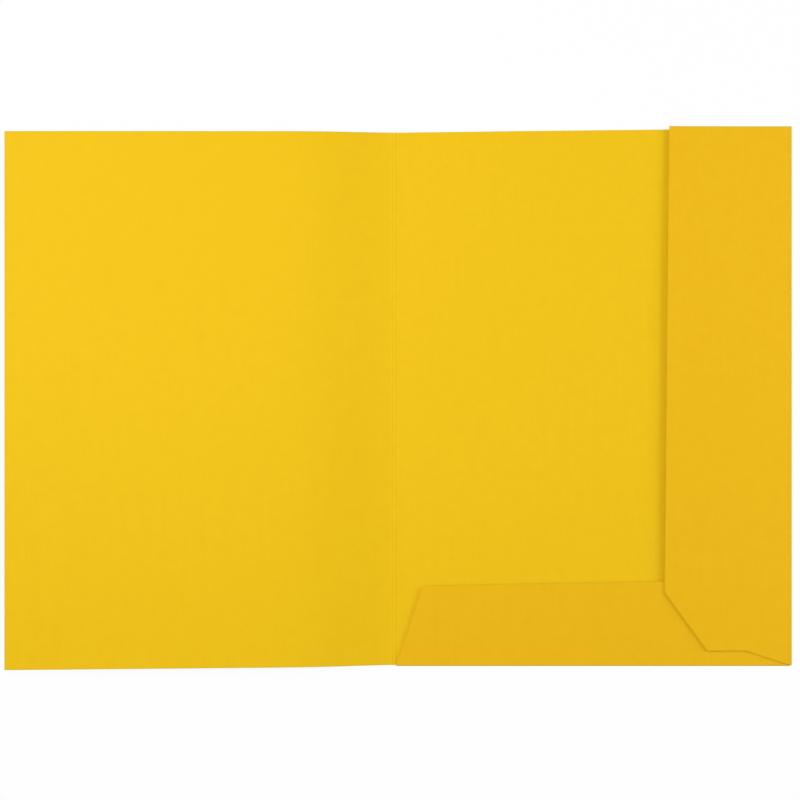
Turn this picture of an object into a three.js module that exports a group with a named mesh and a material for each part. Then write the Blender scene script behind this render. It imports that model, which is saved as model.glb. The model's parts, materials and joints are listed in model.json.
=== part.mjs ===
import * as THREE from 'three';

// A two flap card folder for loose sheets, lying open with its inside facing up.
// One die-cut card makes the whole folder. It is split here where it folds: into its panels, and
// into the creases that join them. Millimetres, +Z up, +Y towards the open top edge of the pocket.
// The origin is the middle of the back panel's underside, which is the face that the folder lies on.

// The card and its main panels. The back panel's open top edge rises a little towards the side
// fold, and the cover's free edge sits a little lower than its crease.
const cardThickness = 0.4;
const folderHeight = 320;
const backPanelWidth = 237.1;
const backPanelRise = 2.6;
const spineWidth = 2.6;
const coverWidth = 229.7;
const coverDrop = 1.1;

// Bottom flap: its depth at either end of its free edge, and the slant of its two ends
const bottomFlapDepthAtSpine = 47.8;
const bottomFlapDepthAtSide = 51;
const bottomFlapSpineSlant = 18.3;
const bottomFlapSideSlant = 45;
const bottomFlapSpineGap = 0.4;
const cornerRelief = 1.2;

// Side flap: its width at either end of its free edge, and the cut-away at its lower end
const sideFlapWidthAtTop = 73;
const sideFlapWidthBelow = 75.6;
const sideFlapOverTop = 0.9;
const sideFlapHeel = { fromFold: 26.9, aboveFold: 8.8 };
const sideFlapToe = { fromFold: 50, aboveFold: 8.8 };
const sideFlapChamferTop = 43.9;
const sideFlapRootLift = 0.5;

// Creases: the card is thinned and bent on these lines
const creaseDiameter = 0.4;
const creaseSetback = 0.3;
const layerGap = 0.3;
const foldEndGap = 0.3;
const foldRunningGap = 0.1;

// How the folder lies open, in degrees: the cover is sprung up off the table by both spine
// creases, and both flaps are sprung up off the back panel by the same angle
const spineSpring = 1.1;
const coverSpring = 1.1;
const flapSpring = 0.5;

// The card is one colour all through
const cardYellow = '#f0c321';
const cardYellowInShade = '#e5b519';
const creaseYellow = '#dba911';

const halfHeight = folderHeight / 2;
const halfBack = backPanelWidth / 2;
const sideFlapTop = halfHeight + backPanelRise + sideFlapOverTop;

// A fold wraps round all the layers of card that lie between its two outer faces.
const bottomFoldRadius = (2 * cardThickness + layerGap) / 2;
const sideFoldRadius = (3 * cardThickness + 2 * layerGap) / 2;

const radians = THREE.MathUtils.degToRad;
const slope = (degrees) => Math.tan(radians(degrees));

function cardFinish(colour) {
  return new THREE.MeshStandardMaterial({ color: colour, roughness: 0.82, metalness: 0 });
}

function namedMesh(name, geometry, colour) {
  const mesh = new THREE.Mesh(geometry, cardFinish(colour));
  mesh.name = name;
  return mesh;
}

// A flat piece of card: its outline, seen from above, and the height of its underside.
function cardSheet(corners, underside) {
  const outline = new THREE.Shape(corners.map(([x, y]) => new THREE.Vector2(x, y)));
  const sheet = new THREE.ExtrudeGeometry(outline, { depth: cardThickness, bevelEnabled: false });
  return sheet.translate(0, 0, underside);
}

// A panel of the folder's height, whose left end sits lower than its right end by the drop.
function panelCorners(left, right, drop) {
  return [
    [left, -halfHeight - drop],
    [right, -halfHeight],
    [right, halfHeight],
    [left, halfHeight - drop],
  ];
}

// A pressed crease line between two flat panels, as a bead lying along Y.
function creaseBead() {
  const radius = creaseDiameter / 2;
  return new THREE.CylinderGeometry(radius, radius, folderHeight, 12);
}

// A rounded fold: half a tube of card, open towards -X, running along Y from -Y to +Y.
function roundedFold(radius, length) {
  const section = new THREE.Shape();
  section.absarc(0, 0, radius, -Math.PI / 2, Math.PI / 2, false);
  section.absarc(0, 0, radius - cardThickness, Math.PI / 2, -Math.PI / 2, true);
  const fold = new THREE.ExtrudeGeometry(section, { depth: length, bevelEnabled: false, curveSegments: 8 });
  return fold.translate(0, 0, -length / 2).rotateX(Math.PI / 2);
}

// Back panel: flat on the table, from the spine crease to the side fold.
function backPanel() {
  const corners = [
    [-halfBack + creaseSetback, -halfHeight],
    [halfBack, -halfHeight],
    [halfBack, halfHeight + backPanelRise],
    [-halfBack + creaseSetback, halfHeight],
  ];
  return namedMesh('back_panel', cardSheet(corners, 0), cardYellow);
}

// Front cover and spine, each in the frame of the crease that it turns on.
function frontCover() {
  const corners = panelCorners(-coverWidth, -creaseSetback, coverDrop);
  return namedMesh('front_cover', cardSheet(corners, -cardThickness / 2), cardYellow);
}

function spinePanel() {
  const corners = panelCorners(-spineWidth + creaseSetback, -creaseSetback, 0);
  return namedMesh('spine_panel', cardSheet(corners, -cardThickness / 2), cardYellow);
}

// Bottom flap, in the frame of its fold: x from the back panel's middle, y into the pocket.
// Its end at the side fold is mitred, so that it opens without catching on the side flap.
function bottomFlap() {
  const root = bottomFoldRadius + foldRunningGap;
  const spineEnd = -halfBack + bottomFlapSpineGap;
  const sideEnd = halfBack - cornerRelief;
  const corners = [
    [spineEnd + root * slope(bottomFlapSpineSlant), root],
    [sideEnd - root * slope(bottomFlapSideSlant), root],
    [sideEnd - bottomFlapDepthAtSide * slope(bottomFlapSideSlant), bottomFlapDepthAtSide],
    [spineEnd + bottomFlapDepthAtSpine * slope(bottomFlapSpineSlant), bottomFlapDepthAtSpine],
  ];
  const underside = bottomFoldRadius - cardThickness;
  return namedMesh('bottom_flap', cardSheet(corners, underside), cardYellowInShade);
}

// Side flap, in the frame of its fold: x is measured into the pocket, y from the middle.
function sideFlap() {
  const root = sideFoldRadius + foldRunningGap;
  const corners = [
    [-root, -halfHeight + sideFlapRootLift],
    [-root, sideFlapTop],
    [-sideFlapWidthAtTop, sideFlapTop],
    [-sideFlapWidthBelow, -halfHeight + sideFlapChamferTop],
    [-sideFlapToe.fromFold, -halfHeight + sideFlapToe.aboveFold],
    [-sideFlapHeel.fromFold, -halfHeight + sideFlapHeel.aboveFold],
  ];
  const underside = sideFoldRadius - cardThickness;
  return namedMesh('side_flap', cardSheet(corners, underside), cardYellowInShade);
}

function bottomCrease() {
  const start = -halfBack + bottomFlapSpineGap;
  const end = halfBack - foldEndGap;
  const crease = namedMesh('bottom_crease', roundedFold(bottomFoldRadius, end - start), creaseYellow);
  crease.rotation.z = -Math.PI / 2;
  crease.position.set((start + end) / 2, -halfHeight, bottomFoldRadius);
  return crease;
}

function sideCrease() {
  const length = sideFlapTop + halfHeight;
  const crease = namedMesh('side_crease', roundedFold(sideFoldRadius, length), creaseYellow);
  crease.position.set(halfBack, sideFlapTop - length / 2, sideFoldRadius);
  return crease;
}

// The hinge lines, nested as the card is: back panel, spine, cover
const coverHinge = new THREE.Group();
coverHinge.position.set(-spineWidth, 0, 0);
coverHinge.rotation.y = radians(coverSpring);
coverHinge.add(frontCover());

const spineHinge = new THREE.Group();
spineHinge.position.set(-halfBack, 0, cardThickness / 2);
spineHinge.rotation.y = radians(spineSpring);
const coverCrease = namedMesh('cover_crease', creaseBead(), creaseYellow);
coverCrease.position.set(-spineWidth, 0, 0);
spineHinge.add(spinePanel(), coverCrease, coverHinge);

const spineCrease = namedMesh('spine_crease', creaseBead(), creaseYellow);
spineCrease.position.copy(spineHinge.position);

const bottomFold = new THREE.Group();
bottomFold.position.set(0, -halfHeight, bottomFoldRadius);
bottomFold.rotation.x = radians(flapSpring);
bottomFold.add(bottomFlap());

const sideFold = new THREE.Group();
sideFold.position.set(halfBack, 0, sideFoldRadius);
sideFold.rotation.y = radians(flapSpring);
sideFold.add(sideFlap());

const folder = new THREE.Group();
folder.add(backPanel(), spineCrease, spineHinge, bottomCrease(), bottomFold, sideCrease(), sideFold);

export default folder;
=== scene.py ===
import json
import math

import bmesh
import bpy
from mathutils import Matrix, Vector, noise

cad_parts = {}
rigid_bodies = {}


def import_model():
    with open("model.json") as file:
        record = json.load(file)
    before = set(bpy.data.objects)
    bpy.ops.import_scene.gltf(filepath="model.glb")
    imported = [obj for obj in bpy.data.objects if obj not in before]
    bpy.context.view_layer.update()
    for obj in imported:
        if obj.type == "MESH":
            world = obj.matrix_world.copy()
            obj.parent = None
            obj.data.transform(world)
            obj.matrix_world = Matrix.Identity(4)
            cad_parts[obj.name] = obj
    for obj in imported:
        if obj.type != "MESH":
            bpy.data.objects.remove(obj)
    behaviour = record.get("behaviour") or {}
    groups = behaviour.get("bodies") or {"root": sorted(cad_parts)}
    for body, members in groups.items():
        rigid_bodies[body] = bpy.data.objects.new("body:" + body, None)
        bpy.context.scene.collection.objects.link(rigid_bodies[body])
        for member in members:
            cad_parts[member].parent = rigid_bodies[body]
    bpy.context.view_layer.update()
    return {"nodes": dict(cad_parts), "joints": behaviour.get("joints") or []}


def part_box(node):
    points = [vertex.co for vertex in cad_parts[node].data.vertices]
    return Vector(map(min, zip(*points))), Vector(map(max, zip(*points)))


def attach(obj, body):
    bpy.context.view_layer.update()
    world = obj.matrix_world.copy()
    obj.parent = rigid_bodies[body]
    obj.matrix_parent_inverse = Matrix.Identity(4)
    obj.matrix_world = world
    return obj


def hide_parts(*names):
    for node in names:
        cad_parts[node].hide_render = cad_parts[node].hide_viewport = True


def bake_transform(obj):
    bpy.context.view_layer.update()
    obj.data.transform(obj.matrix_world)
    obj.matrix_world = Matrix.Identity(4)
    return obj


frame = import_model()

mm = 0.001

# The folder is one sheet of card. Each panel and each crease is its own piece here, made on the CAD
# model's outlines and hinge lines, so that the sheet looks unbroken. The panels are attached to
# their bodies; the crease pieces are not.
print("folder: reading the hinges")


def jointOf(childBody):
    return next((joint for joint in frame["joints"] if joint["child"] == childBody), None)


def jointNamed(name):
    return next(joint for joint in frame["joints"] if joint["name"] == name)


def restTurn(body):
    # each fold's lower limit is flat, so that limit says how far it's turned at rest
    joint = jointOf(body)
    if joint is None:
        return 0.0
    return math.radians(-joint["range_deg"][0]) + restTurn(joint["parent"])


def hingeFrame(body):
    joint = jointOf(body)
    if joint is None:
        return Matrix.Identity(4)
    turn = Matrix.Rotation(restTurn(body), 4, Vector(joint["axis"]))
    return Matrix.Translation(joint["pos_m"]) @ turn


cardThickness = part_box("back_panel")[1].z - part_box("back_panel")[0].z


class Wire:
    # one output of a node tree, so that shader sums read as plain sums
    def __init__(self, tree, socket=None):
        self.tree = tree
        self.socket = socket

    def make(self, kind, settings=None, inputs=None, output=0):
        node = self.tree.nodes.new("ShaderNode" + kind)
        for name, value in (settings or {}).items():
            setattr(node, name, value)
        for name, value in (inputs or {}).items():
            if isinstance(value, Wire):
                self.tree.links.new(value.socket, node.inputs[name])
            else:
                node.inputs[name].default_value = value
        return Wire(self.tree, node.outputs[output] if node.outputs else None)

    def maths(self, operation, *values):
        return self.make("Math", {"operation": operation}, dict(enumerate(values)))

    def __add__(self, other):
        return self.maths("ADD", self, other)

    def __radd__(self, other):
        return self.maths("ADD", other, self)

    def __sub__(self, other):
        return self.maths("SUBTRACT", self, other)

    def __rsub__(self, other):
        return self.maths("SUBTRACT", other, self)

    def __mul__(self, other):
        return self.maths("MULTIPLY", self, other)

    def __rmul__(self, other):
        return self.maths("MULTIPLY", other, self)

    def __truediv__(self, other):
        return self.maths("DIVIDE", self, other)

    def __rtruediv__(self, other):
        return self.maths("DIVIDE", other, self)

    def larger(self, other):
        return self.maths("MAXIMUM", self, other)

    def within(self, low, high):
        # 0 at low and 1 at high, smooth between
        settings = {"interpolation_type": "SMOOTHSTEP"}
        return self.make("MapRange", settings, {"Value": self, "From Min": low, "From Max": high})

    def tint(self, under, over):
        # under where this is 0, over where it's 1
        return self.make("Mix", {"data_type": "RGBA"}, {"Factor": self, "A": under, "B": over}, 2)


print("folder: card finish")

# Card dyed all through: smooth and even, a shade deeper on its outside face, paler where it's cut
cardLook = {
    "inside": {"colour": (0.900, 0.562, 0.001, 1), "deepColour": (0.870, 0.528, 0.0, 1)},
    "outside": {"colour": (0.886, 0.508, 0.001, 1), "deepColour": (0.854, 0.476, 0.0, 1)},
    "cutEdge": {"colour": (0.870, 0.555, 0.008, 1), "deepColour": (0.760, 0.440, 0.003, 1)},
    "fibreColour": (0.93, 0.63, 0.014, 1),
    "paintedShadeColour": (0.71, 0.465, 0.002, 1),      # painted shade along cut edges, creases and folds
    "roughness": 0.8,
    "shine": 0.25,
    "reliefDepth": 0.016 * mm,
}

# What shows in the card, and the painted shade along its cut edges and creases. Sizes and reaches
# are in millimetres; the shade, fur and cracks fade out over their reach from a cut edge or a
# crease. A spread is the part of the noise that counts, from none to all. Tone, tint, relief and
# rough say how much each one adds to them.
cardGrain = {
    "cloud": {      # cloudy patches of the pulp
        "size": 7.0, "detail": 4, "noiseRoughness": 0.55,
        "spread": (0.3, 0.7), "tone": 0.4, "relief": 0.6,
    },
    "pulp": {      # its fine grain
        "size": 0.9, "detail": 3, "noiseRoughness": 0.6,
        "spread": (0.25, 0.75), "tone": 0.35, "relief": 0.5,
    },
    "tooth": {      # the tooth of the surface
        "size": 0.28, "detail": 2, "noiseRoughness": 0.6,
        "middle": 0.5, "relief": 0.35, "rough": 0.16,
    },
    "streak": {      # faint streaks along the sheet
        "sizes": (1.6, 45.0, 1.6), "detail": 2, "noiseRoughness": 0.55,
        "spread": (0.3, 0.7), "tone": 0.25,
    },
    "fibre": {      # single paler fibres
        "sizes": (2.6, 0.16, 0.16), "detail": 1, "noiseRoughness": 0.55, "turns": (0.35, 1.45, 2.6),
        "spread": (0.66, 0.76), "tint": 0.14, "relief": 0.12,
    },
    "edgeShading": {      # painted shade along a cut edge, mottled with the pulp
        "reach": (0.1, 0.9), "least": 0.45, "withPulp": 0.3,
    },
    "fur": {      # loose fibres at a cut edge
        "reach": (0.05, 0.6), "spread": (0.45, 0.65), "tint": 0.2, "rough": 0.12,
    },
    "creasePressShade": {      # painted shade along a crease or fold, where the card is also a little smoother
        "reach": (0.08, 0.55), "share": 0.6, "rough": 0.1,
    },
    "crack": {      # fine cracks in the dye on a crease
        "reach": (0.05, 0.4), "spread": (0.5, 0.66), "tint": 0.2,
    },
}


def patches(coordinates, grain, scale=None):
    inputs = {"Vector": coordinates, "Scale": scale or 1 / grain["size"]}
    inputs.update({"Detail": grain["detail"], "Roughness": grain["noiseRoughness"]})
    return coordinates.make("TexNoise", {"noise_dimensions": "3D"}, inputs)


def stretchedPatches(coordinates, grain, turn=0.0):
    # patches with a size of their own along each axis, turned in the plane of the sheet
    turned = coordinates.make("Mapping", {}, {"Vector": coordinates, "Rotation": (0, 0, turn)})
    scale = tuple(1 / size for size in grain["sizes"])
    shrunk = coordinates.make("Mapping", {}, {"Vector": turned, "Scale": scale})
    return patches(shrunk, grain, scale=1.0)


def cardMaterial(name):
    look = cardLook[name]
    material = bpy.data.materials.new(name)
    material.use_nodes = True
    tree = material.node_tree
    shader = tree.nodes["Principled BSDF"]
    start = Wire(tree)
    metres = start.make("TexCoord", output=3)
    scaled = {"Vector": metres, "Scale": 1 / mm}
    millimetres = start.make("VectorMath", {"operation": "SCALE"}, scaled)
    edge = start.make("Attribute", {"attribute_name": "edgeDistance"}, output=2) / mm
    crease = start.make("Attribute", {"attribute_name": "creaseDistance"}, output=2) / mm

    cloudLook, pulpLook, toothLook = cardGrain["cloud"], cardGrain["pulp"], cardGrain["tooth"]
    streakLook, fibreLook = cardGrain["streak"], cardGrain["fibre"]
    cloud = patches(millimetres, cloudLook)
    pulp = patches(millimetres, pulpLook)
    tooth = patches(millimetres, toothLook)
    streak = stretchedPatches(millimetres, streakLook)
    fibres = 0.0
    for turn in fibreLook["turns"]:
        strand = stretchedPatches(millimetres, fibreLook, turn)
        fibres = strand.within(*fibreLook["spread"]) + fibres

    # painted shade along cut edges, creases and folds; cut edges furred, creases a little smoother,
    # with fine cracks in the dye
    edgeShadingLook, fur, creasePressShade, crack = (cardGrain[key] for key in ("edgeShading", "fur", "creasePressShade", "crack"))
    # painted shade along the cut edges, mottled with the pulp
    edgeShadeMask = (1 - edge.within(*edgeShadingLook["reach"])) * (edgeShadingLook["least"] + edgeShadingLook["withPulp"] * pulp)
    furred = (1 - edge.within(*fur["reach"])) * pulp.within(*fur["spread"])
    # painted shade along the creases and folds; the same mask makes the card a little smoother
    # there
    creasePressShadeMask = (1 - crease.within(*creasePressShade["reach"])) * creasePressShade["share"]
    cracked = (1 - crease.within(*crack["reach"])) * tooth.within(*crack["spread"])

    tone = cloud.within(*cloudLook["spread"]) * cloudLook["tone"]
    tone += pulp.within(*pulpLook["spread"]) * pulpLook["tone"]
    tone += streak.within(*streakLook["spread"]) * streakLook["tone"]
    pale = fibres * fibreLook["tint"] + furred * fur["tint"] + cracked * crack["tint"]
    colour = tone.tint(look["colour"], look["deepColour"])
    # painted shade: darker along cut edges, creases and folds
    colour = edgeShadeMask.larger(creasePressShadeMask).tint(colour, cardLook["paintedShadeColour"])
    colour = pale.tint(colour, cardLook["fibreColour"])
    relief = pulp * pulpLook["relief"] + tooth * toothLook["relief"]
    relief += fibres * fibreLook["relief"] + cloud * cloudLook["relief"]
    bump = start.make("Bump", {}, {"Distance": cardLook["reliefDepth"], "Height": relief})
    rough = cardLook["roughness"] + (tooth - toothLook["middle"]) * toothLook["rough"]
    rough += furred * fur["rough"] - creasePressShadeMask * creasePressShade["rough"]

    tree.links.new(colour.socket, shader.inputs["Base Color"])
    tree.links.new(rough.socket, shader.inputs["Roughness"])
    tree.links.new(bump.socket, shader.inputs["Normal"])
    shader.inputs["Specular IOR Level"].default_value = cardLook["shine"]
    return material


insideCard = cardMaterial("inside")
outsideCard = cardMaterial("outside")
cutEdge = cardMaterial("cutEdge")

# A piece's first face, its second face and its cut edges. A panel's first face is its upper one.
insideFirst = (insideCard, outsideCard, cutEdge)
outsideFirst = (outsideCard, insideCard, cutEdge)

print("folder: sheets")

sheetMesh = {
    "square": 6 * mm,
    "creaseLoops": (0.1 * mm, 0.25 * mm, 0.4 * mm, 0.6 * mm, 0.8 * mm, 1.2 * mm, 2.5 * mm),
    "edgeLoops": (0.3 * mm, 0.9 * mm),
    "edgeRounding": 0.07 * mm,
    "roundingSteps": 2,
    "roundingProfile": 0.5,      # a quarter circle
    "samePoint": 0.001 * mm,
    "sameRimPoint": 0.006 * mm,      # the rounding leaves points this near to each other
    "nearCrease": 1.3 * mm,      # a side this near to a hinge line is creased, not cut
    "farFromCuts": 1000 * mm,      # the distance given on a panel without a cut side
    "flatWithin": 0.01,      # radians, for the CAD model's faces
    "sharpAbove": 50,      # degrees
}

# The two spine creases stand up as low beads inside. Each bead is a little nearer the spine's
# middle than the line that the card turns on.
creaseBead = {
    "joints": ("spine_fold", "cover_fold"),
    "height": 0.11 * mm,
    "halfWidth": 0.5 * mm,
    "inset": 0.35 * mm,
    "faint": 0.5 * mm,      # keeps the painted crease shade on a bead fainter than on a fold
}


def fromBead(body, distance):
    return distance - creaseBead["inset"] if body == "spine" else distance + creaseBead["inset"]


def beadHeight(distance):
    return creaseBead["height"] * math.exp(-((distance / creaseBead["halfWidth"]) ** 2))


def panelOutline(node, fromRest):
    # the upper face of a CAD panel: its corners, and the height of the card's middle
    bm = bmesh.new()
    bm.from_mesh(frame["nodes"][node].data)
    bmesh.ops.transform(bm, matrix=fromRest, verts=bm.verts)
    flatWithin = sheetMesh["flatWithin"]
    bmesh.ops.remove_doubles(bm, verts=bm.verts, dist=sheetMesh["samePoint"])
    bmesh.ops.dissolve_limit(bm, angle_limit=flatWithin, verts=bm.verts, edges=bm.edges)
    top = max(bm.faces, key=lambda face: face.normal.z * face.calc_area())
    corners = [(v.co.x, v.co.y) for v in top.verts]
    middle = top.verts[0].co.z - cardThickness / 2
    bm.free()
    return corners, middle


def distanceToLine(point, start, end):
    along = end - start
    share = max(0.0, min(1.0, (point - start).dot(along) / along.length_squared))
    return (point - start - along * share).length


def hingeLines(body, fromRest):
    # the hinge lines that this body's card folds on, in the body's own frame
    lines = []
    for joint in frame["joints"]:
        if body in (joint["parent"], joint["child"]):
            middle = fromRest @ Vector(joint["pos_m"])
            along = fromRest.to_3x3() @ Vector(joint["axis"])
            lines.append((joint["name"], (middle - along).xy, (middle + along).xy))
    return lines


def cutIntoSquares(corners, creaseSides):
    # a flat polygon, cut by a grid and by lines that follow its sides
    bm = bmesh.new()
    bm.faces.new([bm.verts.new((x, y, 0)) for x, y in corners])
    cuts = []
    for axis in (0, 1):
        low = min(c[axis] for c in corners)
        high = max(c[axis] for c in corners)
        count = max(1, round((high - low) / sheetMesh["square"]))
        for i in range(1, count):
            point = Vector((0, 0, 0))
            point[axis] = low + (high - low) * i / count
            normal = Vector((0, 0, 0))
            normal[axis] = 1
            cuts.append((point, normal))
    for i, (corner, onCrease) in enumerate(zip(corners, creaseSides)):
        start = Vector((*corner, 0))
        end = Vector((*corners[(i + 1) % len(corners)], 0))
        inward = Vector((-(end - start).y, (end - start).x, 0)).normalized()
        loops = sheetMesh["creaseLoops"] if onCrease else sheetMesh["edgeLoops"]
        cuts += [(start + inward * distance, inward) for distance in loops]
    near = sheetMesh["samePoint"]
    for point, normal in cuts:
        everything = bm.verts[:] + bm.edges[:] + bm.faces[:]
        bmesh.ops.bisect_plane(bm, geom=everything, dist=near, plane_co=point, plane_no=normal)
    return bm


def thickened(flat, height, roundedSide):
    # the flat mesh as card: its upper face, lower face and rim, softened where it was cut
    solid = bmesh.new()

    def copied(lift):
        return {v: solid.verts.new((v.co.x, v.co.y, height(v.co.xy) + lift)) for v in flat.verts}

    upper, lower = copied(cardThickness / 2), copied(-cardThickness / 2)
    for face in flat.faces:
        solid.faces.new([upper[v] for v in face.verts])
        solid.faces.new([lower[v] for v in reversed(face.verts)]).material_index = 1
    softened = []
    for edge in flat.edges:
        if edge.is_boundary:
            loop = edge.link_loops[0]
            a, b = loop.vert, loop.link_loop_next.vert
            solid.faces.new([upper[b], upper[a], lower[a], lower[b]]).material_index = 2
            if roundedSide(a.co.xy, b.co.xy):
                softened.append(solid.edges.get((upper[a], upper[b])))
                softened.append(solid.edges.get((lower[a], lower[b])))
    flat.free()
    bmesh.ops.bevel(
        solid,
        geom=softened,
        offset=sheetMesh["edgeRounding"],
        segments=sheetMesh["roundingSteps"],
        profile=sheetMesh["roundingProfile"],
        affect="EDGES",
    )
    bmesh.ops.remove_doubles(solid, verts=solid.verts, dist=sheetMesh["sameRimPoint"])
    return solid


def finishPiece(name, bm, placed, distances, materials):
    # writes the mesh, with each point's distance to the nearest crease and cut edge
    bm.verts.ensure_lookup_table()
    values = [distances(v.co) for v in bm.verts]
    bmesh.ops.transform(bm, matrix=placed, verts=bm.verts)
    mesh = bpy.data.meshes.new(name)
    bm.to_mesh(mesh)
    bm.free()
    for i, label in enumerate(("creaseDistance", "edgeDistance")):
        layer = mesh.attributes.new(label, "FLOAT", "POINT")
        layer.data.foreach_set("value", [v[i] for v in values])
    mesh.shade_smooth()
    mesh.set_sharp_from_angle(angle=math.radians(sheetMesh["sharpAbove"]))
    for material in materials:
        mesh.materials.append(material)
    piece = bpy.data.objects.new(name, mesh)
    bpy.context.scene.collection.objects.link(piece)
    return piece


def cardPanel(name, node, body, bend, materials):
    placed = hingeFrame(body)
    fromRest = placed.inverted()
    corners, middle = panelOutline(node, fromRest)
    lines = hingeLines(body, fromRest)
    sides = [(Vector(a), Vector(b)) for a, b in zip(corners, corners[1:] + corners[:1])]

    def fromHinge(point):
        return min(distanceToLine(point, start, end) for _, start, end in lines)

    def onCrease(a, b):
        return max(fromHinge(a), fromHinge(b)) < sheetMesh["nearCrease"]

    cutSides = [side for side in sides if not onCrease(*side)]
    beads = [line for line in lines if line[0] in creaseBead["joints"]]
    folds = [line for line in lines if line[0] not in creaseBead["joints"]]

    def fromBeads(point):
        return [abs(fromBead(body, distanceToLine(point, start, end))) for _, start, end in beads]

    def height(point):
        return middle + sum(beadHeight(distance) for distance in fromBeads(point)) + bend(point)

    def distances(co):
        cuts = [distanceToLine(co.xy, start, end) for start, end in cutSides]
        creases = [distance + creaseBead["faint"] for distance in fromBeads(co.xy)]
        creases += [distanceToLine(co.xy, start, end) for _, start, end in folds]
        return min(creases), min(cuts, default=sheetMesh["farFromCuts"])

    flat = cutIntoSquares(corners, [onCrease(*side) for side in sides])
    solid = thickened(flat, height, lambda a, b: not onCrease(a, b))
    piece = finishPiece(name, solid, placed, distances, materials)
    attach(piece, body)
    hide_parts(node)


# Front cover: its crease springs it up, and its own weight bows it back towards the table
cover = {
    "bow": 4.2 * mm,
    "bendReach": 0.15,      # share of the cover's width
    "ripple": 0.3 * mm,
    "rippleSize": 150 * mm,
    "rippleSeed": 3.1,
    "rippleFrom": 30 * mm,      # it fades out over this distance to the crease
}


def coverBend(point):
    low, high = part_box("front_cover")
    share = max(0.0, min(1.0, -point.x / (high.x - low.x)))
    rise = 1 - math.exp(-((share / cover["bendReach"]) ** 2))
    size = cover["rippleSize"]
    waves = noise.noise(Vector((point.x / size, point.y / size, cover["rippleSeed"])))
    waves *= min(1.0, -point.x / cover["rippleFrom"])
    return (cover["bow"] * rise + cover["ripple"] * waves) * (1 - share)


cardPanel("coverSheet", "front_cover", "cover", coverBend, insideFirst)
cardPanel("spineSheet", "spine_panel", "spine", lambda point: 0.0, insideFirst)

# Back panel: it lies on the table, and only its open top edge lifts a little
back = {
    "topLift": 0.5 * mm,
    "reach": 120 * mm,
    "fromSides": 70 * mm,
}


def backBend(point):
    low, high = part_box("back_panel")
    fromTop = (high.y - point.y) / back["reach"]
    fromSide = min(point.x - low.x, high.x - point.x) / back["fromSides"]
    return back["topLift"] * max(0.0, 1 - fromTop) ** 2 * min(1.0, max(0.0, fromSide)) ** 2


cardPanel("backSheet", "back_panel", "back", backBend, insideFirst)

# The two flaps show the card's outside. Both spring up off the back panel, and the side flap
# settles towards the bottom flap where they cross. They bend only towards the back panel, so
# that they lie on the table when they are opened out.
flaps = {
    "bottomDip": 0.18 * mm,
    "bottomDipFrom": 30 * mm,      # from the side flap's free edge
    "bottomDipLength": 170 * mm,
    "sideDip": 0.3 * mm,
    "settled": 0.24 * mm,
    "settledFrom": 16 * mm,      # from the side fold
    "settledUpTo": 46 * mm,      # from the bottom fold
    "freeFrom": 95 * mm,
}


def smooth(value, low, high):
    share = max(0.0, min(1.0, (value - low) / (high - low)))
    return share * share * (3 - 2 * share)


def bottomBend(point):
    low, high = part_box("bottom_flap")
    depth = max(0.0, min(1.0, point.y / (high.y - low.y)))
    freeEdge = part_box("side_flap")[0].x
    along = smooth(freeEdge - point.x, flaps["bottomDipFrom"], flaps["bottomDipLength"])
    return -flaps["bottomDip"] * math.sin(math.pi * along) * depth


def sideBend(point):
    low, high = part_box("side_flap")
    inward = max(0.0, -point.x)
    share = min(1.0, inward / (high.x - low.x))
    fromBottom = point.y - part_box("back_panel")[0].y
    free = smooth(fromBottom, flaps["settledUpTo"], flaps["freeFrom"])
    settled = flaps["settled"] * smooth(inward, 0.0, flaps["settledFrom"]) * (1 - free)
    return -settled - flaps["sideDip"] * math.sin(math.pi * share) * free


cardPanel("bottomFlapSheet", "bottom_flap", "lower_flap", bottomBend, outsideFirst)
cardPanel("sideFlapSheet", "side_flap", "outer_flap", sideBend, outsideFirst)

print("folder: creases")

creaseMesh = {
    "across": 14,
    "along": 24,
    "onFlap": 4,      # more steps from a fold on to its flap's root
    "reach": 0.75,      # share of the CAD bead's width, to either side of its hinge line
    "atRoot": 0.1 * mm,      # points this near to a flap's root are its corners there
}


def sweptStrip(middleLine, spans):
    # card that follows a bent line of points (across, up), each with its own span along the fold
    bm = bmesh.new()
    rows = []
    for i, (across, up) in enumerate(middleLine):
        before = Vector(middleLine[max(0, i - 1)])
        after = Vector(middleLine[min(len(middleLine) - 1, i + 1)])
        tangent = (after - before).normalized()
        side = Vector((-tangent.y, tangent.x)) * cardThickness / 2
        row = []
        for k in range(creaseMesh["along"] + 1):
            along = spans[i][0] + (spans[i][1] - spans[i][0]) * k / creaseMesh["along"]
            pair = [bm.verts.new((across + s * side.x, along, up + s * side.y)) for s in (1, -1)]
            row.append(pair)
        rows.append(row)
    last = creaseMesh["along"]
    for here, there in zip(rows, rows[1:]):
        for k in range(last):
            bm.faces.new([here[k][0], here[k + 1][0], there[k + 1][0], there[k][0]])
            second = bm.faces.new([here[k][1], there[k][1], there[k + 1][1], here[k + 1][1]])
            second.material_index = 1
        for k in (0, last):
            bm.faces.new([here[k][0], there[k][0], there[k][1], here[k][1]]).material_index = 2
    for row in (rows[0], rows[-1]):
        for k in range(last):
            bm.faces.new([row[k][0], row[k][1], row[k + 1][1], row[k + 1][0]])
    bmesh.ops.recalc_face_normals(bm, faces=bm.faces)
    return bm


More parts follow.
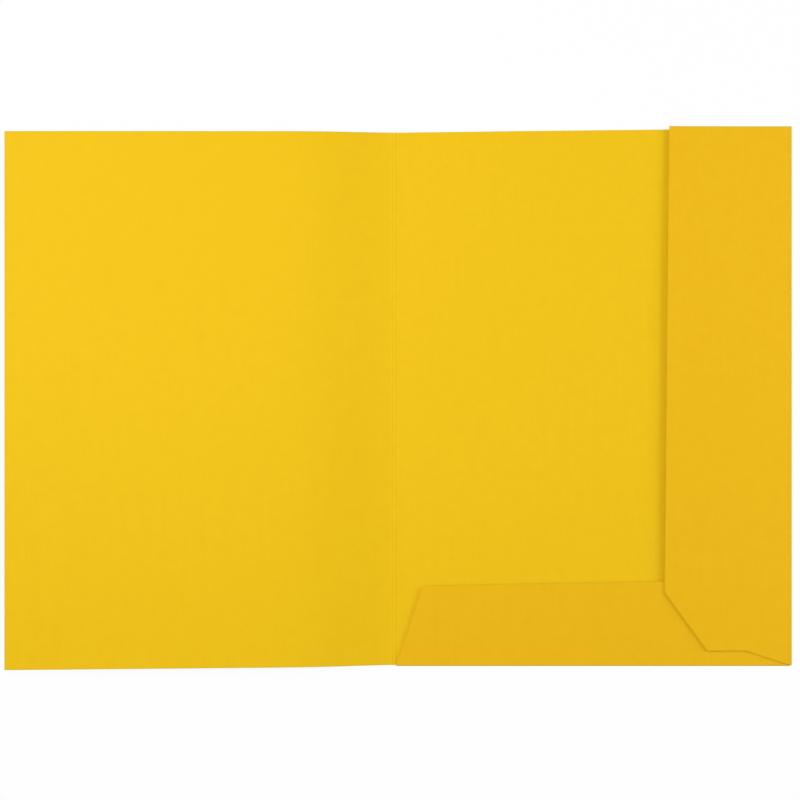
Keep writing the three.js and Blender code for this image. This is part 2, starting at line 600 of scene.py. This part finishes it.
# The two spine creases: flat at rest, with the pressed bead along each
def spineCreaseStrip(name, node, jointName):
    joint = jointNamed(jointName)
    parent, child = joint["parent"], joint["child"]
    low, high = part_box(node)
    pivot = Vector(joint["pos_m"])
    reach = (high.x - low.x) * creaseMesh["reach"]
    parentTurn, childTurn = restTurn(parent), restTurn(child)
    line = []
    for i in range(creaseMesh["across"] + 1):
        s = reach * (1 - 2 * i / creaseMesh["across"])
        turn = parentTurn if s > 0 else childTurn
        lift = beadHeight(fromBead("spine", s if parent == "spine" else -s))
        across = s * math.cos(turn) + lift * math.sin(turn)
        up = lift * math.cos(turn) - s * math.sin(turn)
        line.append((across, up))
    span = (low.y, high.y)
    bm = sweptStrip(line, [span] * len(line))

    def distances(co):
        across = fromBead("spine", co.x if parent == "spine" else -co.x)
        return abs(across) + creaseBead["faint"], min(co.y - low.y, high.y - co.y)

    placed = Matrix.Translation((pivot.x, 0, pivot.z))
    piece = finishPiece(name, bm, placed, distances, outsideFirst)
    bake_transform(piece)
    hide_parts(node)


spineCreaseStrip("spineCreaseStrip", "spine_crease", "spine_fold")
spineCreaseStrip("coverCreaseStrip", "cover_crease", "cover_fold")


# The two flap folds: half a tube round the layers of card, and on to the flap's root
def flapFoldStrip(name, node, flapNode, jointName, frameTurn):
    joint = jointNamed(jointName)
    parent, child = joint["parent"], joint["child"]
    toFold = Matrix.Translation(joint["pos_m"]) @ Matrix.Rotation(frameTurn, 4, "Z")
    fromFold = toFold.inverted()
    crease = [fromFold @ v.co for v in frame["nodes"][node].data.vertices]
    flap = [fromFold @ v.co for v in frame["nodes"][flapNode].data.vertices]
    radius = max(v.z for v in crease) - cardThickness / 2
    turn = restTurn(child)
    root = max(v.x for v in flap)
    corners = [v.y for v in flap if v.x > root - creaseMesh["atRoot"]]
    outer = (min(v.y for v in crease), max(v.y for v in crease))
    inner = (min(corners), max(corners))
    line, spans = [], []
    bends = creaseMesh["across"]
    for i in range(bends + 1):
        angle = -math.pi / 2 + (math.pi - turn) * i / bends
        line.append((radius * math.cos(angle), radius * math.sin(angle)))
        spans.append(outer)
    for i in range(1, creaseMesh["onFlap"] + 1):
        share = i / creaseMesh["onFlap"]
        length = -root * share
        across = radius * math.sin(turn) - length * math.cos(turn)
        up = radius * math.cos(turn) + length * math.sin(turn)
        line.append((across, up))
        spans.append(tuple(o + (n - o) * share for o, n in zip(outer, inner)))
    bm = sweptStrip(line, spans)

    def distances(co):
        return max(0.0, -co.x), min(co.y - outer[0], outer[1] - co.y)

    piece = finishPiece(name, bm, toFold, distances, insideFirst)
    pivot = Vector(joint["pos_m"])
    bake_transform(piece)
    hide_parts(node)


flapFoldStrip("sideFoldStrip", "side_crease", "side_flap", "side_flap_fold", 0.0)
flapFoldStrip("bottomFoldStrip", "bottom_crease", "bottom_flap", "bottom_flap_fold", -math.pi / 2)

print("folder: camera, floor and light")

# Straight above, as the photograph is taken
photo = {
    "width": 800,
    "height": 800,
    "spineTop": 132.8,      # rows of the spine's two ends
    "spineBottom": 664.8,
    "spineColumn": 393.4,      # and the column of its middle
    "cameraHeight": 0.7,
    "sensor": 36.0,
}


def addCamera():
    low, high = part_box("spine_panel")
    pixelsPerMetre = (photo["spineBottom"] - photo["spineTop"]) / (high.y - low.y)
    spineX = (low.x + high.x) / 2
    centreX = spineX + (photo["width"] / 2 - photo["spineColumn"]) / pixelsPerMetre
    spineMiddleRow = (photo["spineTop"] + photo["spineBottom"]) / 2
    centreY = (spineMiddleRow - photo["height"] / 2) / pixelsPerMetre
    data = bpy.data.cameras.new("overheadCamera")
    data.sensor_width = photo["sensor"]
    data.lens = photo["sensor"] * pixelsPerMetre * photo["cameraHeight"] / photo["width"]
    camera = bpy.data.objects.new("overheadCamera", data)
    camera.location = (centreX, centreY, photo["cameraHeight"])
    bpy.context.scene.collection.objects.link(camera)
    bpy.context.scene.camera = camera


addCamera()

# Each lamp's level is the share of plain white that it adds on the table at the aim. With the
# sky's level they come to about 1.
studio = {
    "floorSize": 8.0,
    "floorBelow": 0.02 * mm,      # clear of the card's underside
    "floorColour": (0.95, 0.95, 0.95, 1),
    "floorGlow": 0.93,      # share of plain white that the camera sees in the floor
    "sky": 0.39,
    "skySeen": 0.98,      # as pale as the floor looks far away
    "aim": (-0.2, 0.0, 0.0),
    "lamps": {
        "leftLamp": {"place": (-3.8, 0.75, 0.78), "size": 1.0, "level": 0.15},
        "rightLamp": {"place": (0.95, 0.1, 0.36), "size": 0.5, "level": 0.13},
        "nearLamp": {"place": (-0.38, 0.16, 0.68), "size": 0.3, "level": 0.38},
    },
}


def addFloor():
    bm = bmesh.new()
    bmesh.ops.create_grid(bm, x_segments=2, y_segments=2, size=studio["floorSize"] / 2)
    bmesh.ops.translate(bm, verts=bm.verts, vec=(0, 0, -studio["floorBelow"]))
    mesh = bpy.data.meshes.new("floor")
    bm.to_mesh(mesh)
    bm.free()
    material = bpy.data.materials.new("floorWhite")
    material.use_nodes = True
    tree = material.node_tree
    tree.nodes.clear()
    start = Wire(tree)
    seen = start.make("LightPath", output=0)
    plain = start.make("BsdfDiffuse", {}, {"Color": studio["floorColour"]})
    white = start.make("Emission", {}, {"Color": (1, 1, 1, 1), "Strength": 1.0})
    mixed = start.make("MixShader", {}, {0: seen * studio["floorGlow"], 1: plain, 2: white})
    start.make("OutputMaterial", {}, {"Surface": mixed})
    mesh.materials.append(material)
    floor = bpy.data.objects.new("floor", mesh)
    bpy.context.scene.collection.objects.link(floor)


def addLamp(name, place, size, level):
    data = bpy.data.lights.new(name, "AREA")
    data.size = size
    lamp = bpy.data.objects.new(name, data)
    lamp.location = place
    towards = Vector(studio["aim"]) - lamp.location
    data.energy = level * math.pi ** 2 * towards.length ** 3 / -towards.z
    lamp.rotation_euler = towards.to_track_quat("-Z", "Y").to_euler()
    bpy.context.scene.collection.objects.link(lamp)


def addSky():
    world = bpy.data.worlds.new("studio")
    world.use_nodes = True
    tree = world.node_tree
    tree.nodes.clear()
    start = Wire(tree)
    seen = start.make("LightPath", output=0)
    glow = seen * (studio["skySeen"] - studio["sky"]) + studio["sky"]
    sky = start.make("Background", {}, {"Color": (1, 1, 1, 1), "Strength": glow})
    start.make("OutputWorld", {}, {"Surface": sky})
    bpy.context.scene.world = world


addFloor()
for lampName, lamp in studio["lamps"].items():
    addLamp(lampName, **lamp)
addSky()
bpy.context.scene.view_settings.view_transform = "Standard"

print("folder: done")
